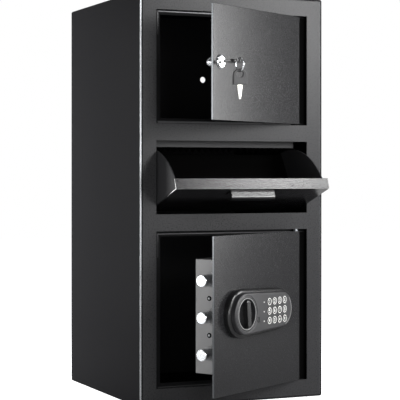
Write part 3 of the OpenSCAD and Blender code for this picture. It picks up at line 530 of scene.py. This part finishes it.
def button_print(key):
    """White ring and figure on one button."""
    name = f"button_{key}"
    seat = Seat(outer_flat(name, knob_out), UP.cross(knob_out), UP)
    work = bmesh.new()
    add_stroke(work, seat, circle_points(RING_R), RING_LINE, INK_HEIGHT)
    for line in FIGURES[key]:
        scaled = [(x * FIGURE_HALF_W, y * FIGURE_HALF_H) for x, y in line]
        add_stroke(work, seat, scaled, FIGURE_LINE, INK_HEIGHT)
    return piece(f"print_{key}", finished_mesh(f"print_{key}", work), ink, f"{name}_body")


prints = [button_print(key) for key in FIGURES]
print("prints:", len(prints))

# %% [markdown]
# ## Turned shapes
#
# Rings, washers and screw heads are round, so they are made as on a lathe: a profile of radius
# and height is turned about an axis. A torus or cylinder would do for a plain ring, but not for
# the half-round section of a bead or the stepped section of a screw head.

# %% Lathe work
def add_lathe(work, seat, profile, steps=64):
    """Adds a turned shape to a bmesh; the profile is a list of radius and height in mm."""
    rows = []
    for i in range(steps):
        turn = 2 * math.pi * i / steps
        rows.append([work.verts.new(seat.at(r * math.cos(turn), r * math.sin(turn), z))
                     for r, z in profile])
    for i, near in enumerate(rows):
        far = rows[(i + 1) % steps]
        for j in range(len(profile) - 1):
            work.faces.new((near[j], far[j], far[j + 1], near[j + 1]))
    bmesh.ops.remove_doubles(work, verts=work.verts, dist=0.002 * MM)


def bead_profile(radius, half_width, height, count=8):
    """Closed half-round section of a bead that runs round an axis."""
    arc = [(radius - half_width * math.cos(math.pi * i / count),
            height * math.sin(math.pi * i / count)) for i in range(count + 1)]
    return arc + arc[:1]


print("a bead's section has", len(bead_profile(1, 0.1, 0.1)) - 1, "points")

# %% [markdown]
# ## Beads of the moulded housing
#
# The housing's face carries three rings round the dial. The inner one is a bead drawn light
# grey as a painted highlight, then comes a flat dark ring as the painted shade of a shallow
# groove, and the outer one is a polished bead. All are part of the moulding. They stiffen the
# rim of the dial's hole, and their rounded tops catch the light as thin bright arcs.

# %% Dial beads
DIAL_STEPS = 128
# The light grey inner ring is a painted highlight; the dark flat ring is painted shade.
DIAL_RINGS = (("dial_ring_highlight", 26.0, 0.55, 0.5, bead_highlight_paint),
              ("dial_groove_shade", 27.6, 0.8, 0.05, abs_base),
              ("dial_bead_outer", 31.0, 0.7, 0.6, abs_gloss))
knob_seat = Seat(Vector(joints["knob_turn"]["pos_m"]), UP.cross(knob_out), UP)
face_level = (outer_flat("housing_face", knob_out) - knob_seat.centre).dot(knob_out) / MM
face_seat = Seat(knob_seat.at(0, 0, face_level), knob_seat.across, UP)
for name, radius, half_width, height, finish in DIAL_RINGS:
    work = bmesh.new()
    add_lathe(work, face_seat, bead_profile(radius, half_width, height), DIAL_STEPS)
    piece(name, finished_mesh(name, work), finish, "lower_door")
print("housing face stands", round(face_level, 2), "mm in front of the door")

# %% [markdown]
# ## Bead at the housing's end
# The round end beyond the keypad catches the light on its lower outer side, where the face
# rolls over. That highlight is painted: a light grey bead, a stroke along an arc.

# %% Painted highlight at the end
END_BEAD_X_MM, END_BEAD_R_MM, END_BEAD_W_MM, END_BEAD_H_MM = 111.5, 26.6, 1.0, 0.3
sweep = [math.radians(t) for t in range(-75, 46, 5)]
work = bmesh.new()
add_stroke(work, face_seat, [(END_BEAD_X_MM + END_BEAD_R_MM * math.cos(t),
                              END_BEAD_R_MM * math.sin(t)) for t in sweep],
           END_BEAD_W_MM, END_BEAD_H_MM)
piece("face_end_highlight", finished_mesh("face_end_highlight", work), bead_highlight_paint, "lower_door")
print("end highlight:", len(sweep), "points")

# %% [markdown]
# ## Lines that the doors have rubbed
# Inside each opening a thin bright line runs along the black stop frame, where its rounded
# inner edge catches the light. That highlight is painted into the coat: rectangles in the
# material, level and upright, turn the paint to smooth grey metal. Raised strips would touch
# the shut doors, and the line has no height anyway.

# %% Painted highlight lines
LINE_W_MM, BOTTOM_LINE_W_MM = 1.8, 3.0
LINE_TOP_IN_MM, LINE_BOTTOM_IN_MM, LINE_LEFT_MM, LINE_TURN_MM = 1.2, 0.6, -140.4, 40.0
# The grey metal of the lines is a painted highlight of the stop frames' rounded edges.
HIGHLIGHT_METAL, HIGHLIGHT_ROUGHNESS = "#3c3c3d", 0.3


def paint_highlight_lines(material, areas):
    """Paints rectangles of a coat as grey metal, a painted highlight; each is x, half width,
    z and half height in mm.
    """
    tree = material.node_tree
    shader = next(n for n in tree.nodes if n.type == "BSDF_PRINCIPLED")
    place = add(tree, "ShaderNodeSeparateXYZ",
                {"Vector": add(tree, "ShaderNodeTexCoord").outputs["Object"]}).outputs
    marks = 0.0
    for x, half_x, z, half_z in areas:
        across = add(tree, "ShaderNodeMath", {0: place["X"], 1: x * MM, 2: half_x * MM},
                     operation="COMPARE")
        level = add(tree, "ShaderNodeMath", {0: place["Z"], 1: z * MM, 2: half_z * MM},
                    operation="COMPARE")
        both = add(tree, "ShaderNodeMath", {0: across.outputs[0], 1: level.outputs[0]},
                   operation="MULTIPLY")
        marks = add(tree, "ShaderNodeMath", {0: both.outputs[0], 1: marks},
                    operation="MAXIMUM").outputs[0]
    paint = shader.inputs["Base Color"].links[0].from_socket
    highlight_mix = add(tree, "ShaderNodeMix", {"Factor": marks, "A": paint,
                                         "B": linear(HIGHLIGHT_METAL)}, data_type="RGBA")
    tree.links.new(highlight_mix.outputs[2], shader.inputs["Base Color"])
    gloss = add(tree, "ShaderNodeMapRange", {"Value": marks, "To Min": THIN_ROUGHNESS,
                                             "To Max": HIGHLIGHT_ROUGHNESS})
    tree.links.new(gloss.outputs["Result"], shader.inputs["Roughness"])
    tree.links.new(marks, shader.inputs["Metallic"])


areas = []
for level in ("upper", "lower"):
    low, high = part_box(f"{level}_door_plate")
    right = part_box(f"{level}_door_stop")[1][0] / MM
    centre, half = (LINE_LEFT_MM + right) / 2, (right - LINE_LEFT_MM) / 2
    top, bottom = high[2] / MM - LINE_TOP_IN_MM, low[2] / MM + LINE_BOTTOM_IN_MM
    areas += [(centre, half, top, LINE_W_MM / 2), (centre, half, bottom, BOTTOM_LINE_W_MM / 2),
              (LINE_LEFT_MM, LINE_W_MM / 2, top - LINE_TURN_MM / 2, LINE_TURN_MM / 2)]
paint_highlight_lines(coat_stop, areas)
print("highlight lines:", len(areas))

# %% [markdown]
# ## Filled joint of the front plate
#
# The front plate is welded into the wrapped sheet. The joint is filled and ground along the
# top, the right and the bottom, so only the left joint stays open as a dark line. The filler
# is one stroke that lies in the joint, a hair below the face, in the plate's own coat.

# %% Joint filler
front_seat = Seat(Vector((0, outer_flat("front_plate", Vector(FRONT)).y, 0)),
                  Vector((1, 0, 0)), UP)
FILL_W_MM, FILL_OUT_MM, FILL_DEPTH_MM, FILL_BELOW_MM = 2.6, 0.35, 1.2, 0.04
(plate_left, _, plate_bottom), (plate_right, _, plate_top) = [
    [c / MM for c in corner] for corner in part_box("front_plate")]
work = bmesh.new()
add_stroke(work, front_seat, [(plate_left, plate_top + FILL_OUT_MM),
                              (plate_right + FILL_OUT_MM, plate_top + FILL_OUT_MM),
                              (plate_right + FILL_OUT_MM, plate_bottom - FILL_OUT_MM),
                              (plate_left, plate_bottom - FILL_OUT_MM)],
           FILL_W_MM, FILL_DEPTH_MM - FILL_BELOW_MM, -FILL_DEPTH_MM)
piece("joint_filler", finished_mesh("joint_filler", work), coat, "cabinet")
print("filler reaches", round(plate_right, 1), round(plate_top, 1))

# %% [markdown]
# ## Highlight on the front edge
#
# The rounded left edge of the cabinet's face catches the light as a thin bright strip beside
# the corner. That highlight is painted: a strip of light grey metal of its own, thinner than
# the paint film around it.

# %% Painted highlight on the left edge
EDGE_LINE_IN_MM, EDGE_LINE_W_MM, EDGE_LINE_ENDS_MM, EDGE_FILM_MM = 1.8, 1.5, 1.8, 0.04
wrapper_low, wrapper_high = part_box("cabinet_wrapper")
edge_x = wrapper_low[0] / MM + EDGE_LINE_IN_MM
work = bmesh.new()
add_stroke(work, front_seat, [(edge_x, EDGE_LINE_ENDS_MM),
                              (edge_x, wrapper_high[2] / MM - EDGE_LINE_ENDS_MM)],
           EDGE_LINE_W_MM, EDGE_FILM_MM, -EDGE_FILM_MM / 2)
piece("left_edge_highlight", finished_mesh("left_edge_highlight", work), highlight_edge_paint, "cabinet")
print("edge highlight stands", EDGE_LINE_IN_MM, "mm in from the corner")

# %% [markdown]
# ## Painted shade on the hinge margin
#
# The margin of each door beside its hinges lies in shade and is nearly black. That shade is
# painted: a thin strip of matt black sits there, from just outside the hinge axis to the door's
# edge. It has no gloss at all, so the coat's recipe makes it when its shine is zero.

# %% Painted shade strips
# Matt black: painted shade on the hinge margins, and the dark washers of the box screws.
matt_black = powder_coat("matt black, painted hinge shade and washers", "#040404", "#080808", 0.9, 0.0, 1.2, 0.03)
SHADE_FROM_MM, SHADE_TO_MM, SHADE_END_MM, SHADE_HEIGHT_MM = -4.5, 14.6, 0.8, 0.05
for level, out, hinge in (("upper", lock_out, "upper_door_hinge"),
                          ("lower", knob_out, "lower_door_hinge")):
    face = outer_flat(f"{level}_door_plate", out)
    axis = Vector(joints[hinge]["pos_m"])
    axis.z = 0
    low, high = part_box(f"{level}_door_plate")
    seat = Seat(axis + out * (face - axis).dot(out), UP.cross(out), UP)
    middle = (SHADE_FROM_MM + SHADE_TO_MM) / 2
    work = bmesh.new()
    add_stroke(work, seat, [(middle, low[2] / MM + SHADE_END_MM),
                            (middle, high[2] / MM - SHADE_END_MM)],
               SHADE_TO_MM - SHADE_FROM_MM, SHADE_HEIGHT_MM)
    piece(f"hinge_shade_{level}", finished_mesh(f"hinge_shade_{level}", work), matt_black,
          f"{level}_door")
print("hinge shade strips are", SHADE_TO_MM - SHADE_FROM_MM, "mm wide")

# %% [markdown]
# ## Screws of the bolt box
#
# Two pan-head screws with dark felt washers hold the bolt frame to the side wall of the box,
# halfway between the bolts. Both are turned shapes. The heads are 4 mm wide, so the cross in
# them is finer than a pixel and is left out.

# %% Box screws
edge_out = -knob_seat.across
wall = outer_flat("bolt_box", edge_out)
door_face = outer_flat("lower_door_plate", knob_out)
SCREW_DEPTH_MM, SCREW_RISE_MM, SCREW_STEPS = 33.5, 30.7, 32
wall_shift = (door_face - wall).dot(knob_out) - SCREW_DEPTH_MM * MM
wall_seat = Seat(wall + knob_out * wall_shift, UP.cross(edge_out), UP)
WASHER = [(1.4, 0), (4.2, 0), (4.2, 0.6), (3.9, 0.8), (1.4, 0.8), (1.4, 0)]
PAN_HEAD = [(0, 0.8), (1.9, 0.8), (1.9, 1.2), (1.6, 1.6), (1.0, 1.85), (0, 1.95)]
for name, rise in (("upper", SCREW_RISE_MM), ("lower", -SCREW_RISE_MM)):
    seat = Seat(wall_seat.at(0, rise), wall_seat.across, UP)
    for kind, profile, finish in (("washer", WASHER, matt_black), ("screw", PAN_HEAD, zinc)):
        work = bmesh.new()
        add_lathe(work, seat, profile, SCREW_STEPS)
        piece(f"box_{kind}_{name}", finished_mesh(f"box_{kind}_{name}", work), finish,
              "lower_door")
print("box screws on the wall at", [round(v, 4) for v in wall_seat.centre])

# %% [markdown]
# ## Thread of the cam lock
#
# The barrel of a cam lock is threaded so that its nut can clamp it to the door. The thread is
# a three-sided ridge that winds along the barrel behind the nut. A screw modifier would wind
# it too, but here each point is placed in code, so its ends are easy to close.

# %% Barrel thread
BARREL_R_MM, BARREL_END_MM, NUT_END_MM, PITCH_MM, RIDGE_MM = 8.6, 19.0, 7.0, 1.5, 0.45
THREAD_STEPS = 36
lock_seat = Seat(Vector(joints["plug_turn"]["pos_m"]), UP.cross(lock_out), UP)
work = bmesh.new()
turns = (BARREL_END_MM - NUT_END_MM - PITCH_MM) / PITCH_MM
rows = []
for i in range(int(turns * THREAD_STEPS) + 1):
    turn = 2 * math.pi * i / THREAD_STEPS
    depth = -NUT_END_MM - PITCH_MM / 2 - PITCH_MM * i / THREAD_STEPS
    rows.append([work.verts.new(lock_seat.at(r * math.cos(turn), r * math.sin(turn), depth + z))
                 for r, z in ((BARREL_R_MM, PITCH_MM / 2), (BARREL_R_MM + RIDGE_MM, 0),
                              (BARREL_R_MM, -PITCH_MM / 2))])
for near, far in zip(rows, rows[1:]):
    for j in range(3):
        work.faces.new((near[j], far[j], far[(j + 1) % 3], near[(j + 1) % 3]))
work.faces.new(rows[0])
work.faces.new(rows[-1])
piece("barrel_thread", finished_mesh("barrel_thread", work), chrome, "upper_door")
print("thread turns:", round(turns, 1))

# %% [markdown]
# ## Relief on the key heads
#
# The plastic head of each key has a raised rim with the same outline, moulded with it, which
# gives the fingers some grip. The rim leaves a shallow field with the blade's end in it.

# %% Key head rims
HEAD_W_MM, HEAD_LEN_MM, HEAD_T_MM = 24.0, 26.5, 4.4
RIM_IN_MM, RIM_W_MM, RIM_HEIGHT_MM, RIM_SINK_MM, RIM_STEPS = 1.6, 1.4, 0.35, 0.1, 16


def head_rim():
    """Closed line just inside the outline of a key head, y from its square end."""
    r = HEAD_W_MM / 2 - RIM_IN_MM
    turn = [math.pi * i / RIM_STEPS for i in range(RIM_STEPS + 1)]
    arc = [(r * math.cos(t), HEAD_LEN_MM - HEAD_W_MM / 2 + r * math.sin(t)) for t in turn]
    return arc + [(-r, RIM_IN_MM), (r, RIM_IN_MM), arc[0]]


def key_rims(name, origin, normal, along, body):
    """Rims on both faces of a key head whose square end starts at the origin."""
    work = bmesh.new()
    for side in (1, -1):
        face = origin + normal * (side * HEAD_T_MM / 2 * MM)
        seat = Seat(face, along.cross(normal * side), along)
        add_stroke(work, seat, head_rim(), RIM_W_MM, RIM_HEIGHT_MM, -RIM_SINK_MM)
    return piece(name, finished_mesh(name, work), abs_base, body)


KEY_OUT_MM, SPARE_DROP_MM = 13.0, 21.6
key_rims("fitted_key_rim", lock_seat.at(0, 0, KEY_OUT_MM), -UP, lock_out, "plug")
spare = joints["spare_key_swing"]
key_rims("spare_key_rim", Vector(spare["pos_m"]) - UP * SPARE_DROP_MM * MM,
         Vector(spare["axis"]), UP, "spare_key")

# %% [markdown]
# ## Which rays see white
#
# The background of a product photograph is plain white, but black paint has to mirror
# something darker, or it turns grey. Light Path tells the rays apart. Rays from the camera, and
# those through clear glass, see white paper and a white backdrop. Mirrored rays see the white
# studio behind the safe and a dim room in front of it. Neither puts more light on the safe.

# %% What a ray sees
ROOM_IN_MIRROR = 0.1


def seen_white(tree, depth, front, back):
    """1 for camera and glass rays; in a mirror, dim at depth `front` and white from `back`."""
    path = add(tree, "ShaderNodeLightPath")
    direct = add(tree, "ShaderNodeMath", {0: path.outputs["Is Camera Ray"],
                                          1: path.outputs["Is Transmission Ray"]},
                 operation="MAXIMUM")
    behind = add(tree, "ShaderNodeMapRange", {"Value": depth, "From Min": front,
                                              "From Max": back, "To Min": ROOM_IN_MIRROR,
                                              "To Max": 1.0})
    mirrored = path.outputs["Is Glossy Ray"]
    in_mirror = add(tree, "ShaderNodeMath", {0: mirrored, 1: behind.outputs["Result"]},
                    operation="MULTIPLY")
    shown = add(tree, "ShaderNodeMath", {0: direct.outputs[0], 1: in_mirror.outputs[0]},
                operation="MAXIMUM")
    return shown.outputs[0], mirrored


print("mirrors show the front of the room at", ROOM_IN_MIRROR)

# %% [markdown]
# ## Floor
#
# The safe stands on matt white paper. The paper glows a little for the camera, so that it
# comes out white, less so close to the safe, where its shadow has to stay. On the right the
# doors mirror the paper, and there it is drawn greyer for mirrored rays, as if a dark floor
# began beyond the sheet. A plane of one face is enough, since nothing of it is seen but light.

# %% Paper floor
PAPER, PAPER_IN_MIRROR = "#f2f2f2", "#868686"
MIRROR_FADE_FROM, MIRROR_FADE_TO = -0.3, 0.1
GLOW_NEAR, GLOW_FAR, GLOW_AT_SAFE = 0.3, 1.3, 0.90
FLOOR_FRONT, FLOOR_BACK = -0.2, 0.6
FLOOR_SIZE, FLOOR_BELOW = 12.0, 0.0005


def pale_floor():
    """Matt white paper that is white to the camera outside the safe's shadow."""
    material, tree, output = new_material("studio floor, white paper")
    place = add(tree, "ShaderNodeTexCoord").outputs["Object"]
    axes = add(tree, "ShaderNodeSeparateXYZ", {"Vector": place}).outputs
    shown, mirrored = seen_white(tree, axes["Y"], FLOOR_FRONT, FLOOR_BACK)
    right = add(tree, "ShaderNodeMapRange", {"Value": axes["X"], "From Min": MIRROR_FADE_FROM,
                                             "From Max": MIRROR_FADE_TO})
    dimmed = add(tree, "ShaderNodeMath", {0: mirrored, 1: right.outputs["Result"]},
                 operation="MULTIPLY")
    paper = add(tree, "ShaderNodeMix", {"Factor": dimmed.outputs[0], "A": linear(PAPER),
                                        "B": linear(PAPER_IN_MIRROR)}, data_type="RGBA")
    matt = add(tree, "ShaderNodeBsdfDiffuse", {"Color": paper.outputs[2]})
    away = add(tree, "ShaderNodeVectorMath", {0: place}, operation="LENGTH")
    glow = add(tree, "ShaderNodeMapRange", {"Value": away.outputs["Value"],
                                            "From Min": GLOW_NEAR, "From Max": GLOW_FAR,
                                            "To Min": GLOW_AT_SAFE, "To Max": 1.0})
    white = add(tree, "ShaderNodeEmission", {"Color": (1, 1, 1, 1),
                                             "Strength": glow.outputs["Result"]})
    both = add(tree, "ShaderNodeAddShader", {0: matt.outputs[0], 1: white.outputs[0]})
    mix = add(tree, "ShaderNodeMixShader", {"Fac": shown, 1: matt.outputs[0],
                                            2: both.outputs[0]})
    tree.links.new(mix.outputs[0], output.inputs["Surface"])
    return material


floor_mesh = bpy.data.meshes.new("floor")
half = FLOOR_SIZE / 2
floor_mesh.from_pydata([(-half, -half, 0), (half, -half, 0), (half, half, 0), (-half, half, 0)],
                       [], [(0, 1, 2, 3)])
floor = bpy.data.objects.new("floor", floor_mesh)
floor.location.z = -FLOOR_BELOW
floor_mesh.materials.append(pale_floor())
bpy.context.scene.collection.objects.link(floor)
print("floor:", FLOOR_SIZE, "m square")

# %% [markdown]
# ## Backdrop and room
#
# The world is the backdrop. It follows the same rule as the floor: white to the camera, white
# in mirrors that look back past the safe, and dim in those that look into the room. To all
# other rays it is a weak even light, which keeps the shadows open.

# %% White studio
ROOM_LIGHT = 0.03
ROOM_FRONT, ROOM_BACK = 0.1, 0.7

world = bpy.data.worlds.new("white studio")
bpy.context.scene.world = world
world.use_nodes = True
world.node_tree.nodes.clear()
tree = world.node_tree
toward = add(tree, "ShaderNodeSeparateXYZ",
             {"Vector": add(tree, "ShaderNodeTexCoord").outputs["Generated"]})
shown, _ = seen_white(tree, toward.outputs["Y"], ROOM_FRONT, ROOM_BACK)
level = add(tree, "ShaderNodeMath", {0: shown, 1: ROOM_LIGHT}, operation="MAXIMUM")
sky = add(tree, "ShaderNodeBackground", {"Color": (1, 1, 1, 1), "Strength": level.outputs[0]})
add(tree, "ShaderNodeOutputWorld", {"Surface": sky.outputs[0]})
print("room light:", ROOM_LIGHT)

# %% [markdown]
# ## Soft boxes
#
# Black gloss shows lamps rather than light: each face of the safe looks as bright as what it
# mirrors. So every soft box stands where one face mirrors it, seen from the front left, and
# is sized to the highlight that it leaves. Area lamps do that, and they light matt parts
# softly too. Each line gives the direction from the safe, with 0 straight in front and right
# positive, then the height angle, the distance and size in metres, and the power in watts.

# %% Soft boxes
SUBJECT = Vector((0, -0.15, 0.36))
SOFT_BOXES = (
    # The front plate, evenly, and what shows inside the openings.
    ("key soft box", 20, 4, 3.2, 0.7, 0.9, 12),
    ("front fill", -24, 2, 3.4, 1.2, 1.2, 13),
    ("left soft box", -10, 6, 3.2, 0.7, 0.7, 25),
    # The front plate's upper right and lower right.
    ("upper right soft box", 30, 19, 1.69, 0.5, 0.4, 13),
    ("lower right soft box", 34, 11, 1.69, 0.5, 0.5, 6.2),
    # The open doors, the upper one first, and then the drawer's rim and handle.
    ("side soft box", 72, 9.4, 1.3, 0.26, 0.62, 7.4),
    ("low side soft box", 71, -8.5, 1.3, 0.2, 0.25, 1.4),
    ("high soft box", 38, 37, 2.0, 0.5, 0.35, 14.5),
    # The doors' free edges and the bolts, and the left side towards the back.
    ("left reflector", -95, 4, 3.0, 1.0, 1.0, 26),
    ("rear left soft box", -139.4, 3, 0.92, 0.25, 0.7, 9.5),
)


def soft_box(name, azimuth, elevation, distance, width, height, power):
    """Area lamp aimed at the safe; azimuth 0 is straight in front, positive to the right."""
    lamp = bpy.data.lights.new(name, "AREA")
    lamp.shape = "RECTANGLE"
    lamp.size = width
    lamp.size_y = height
    lamp.energy = power
    lamp_object = bpy.data.objects.new(name, lamp)
    a, e = math.radians(azimuth), math.radians(elevation)
    toward = Vector((math.sin(a) * math.cos(e), -math.cos(a) * math.cos(e), math.sin(e)))
    lamp_object.location = SUBJECT + toward * distance
    lamp_object.rotation_euler = (-toward).to_track_quat("-Z", "Y").to_euler()
    bpy.context.scene.collection.objects.link(lamp_object)


for values in SOFT_BOXES:
    soft_box(*values)
print("lamps:", len(SOFT_BOXES), "power:", sum(values[-1] for values in SOFT_BOXES), "W")

# %% Colour view
bpy.context.scene.view_settings.view_transform = "Standard"
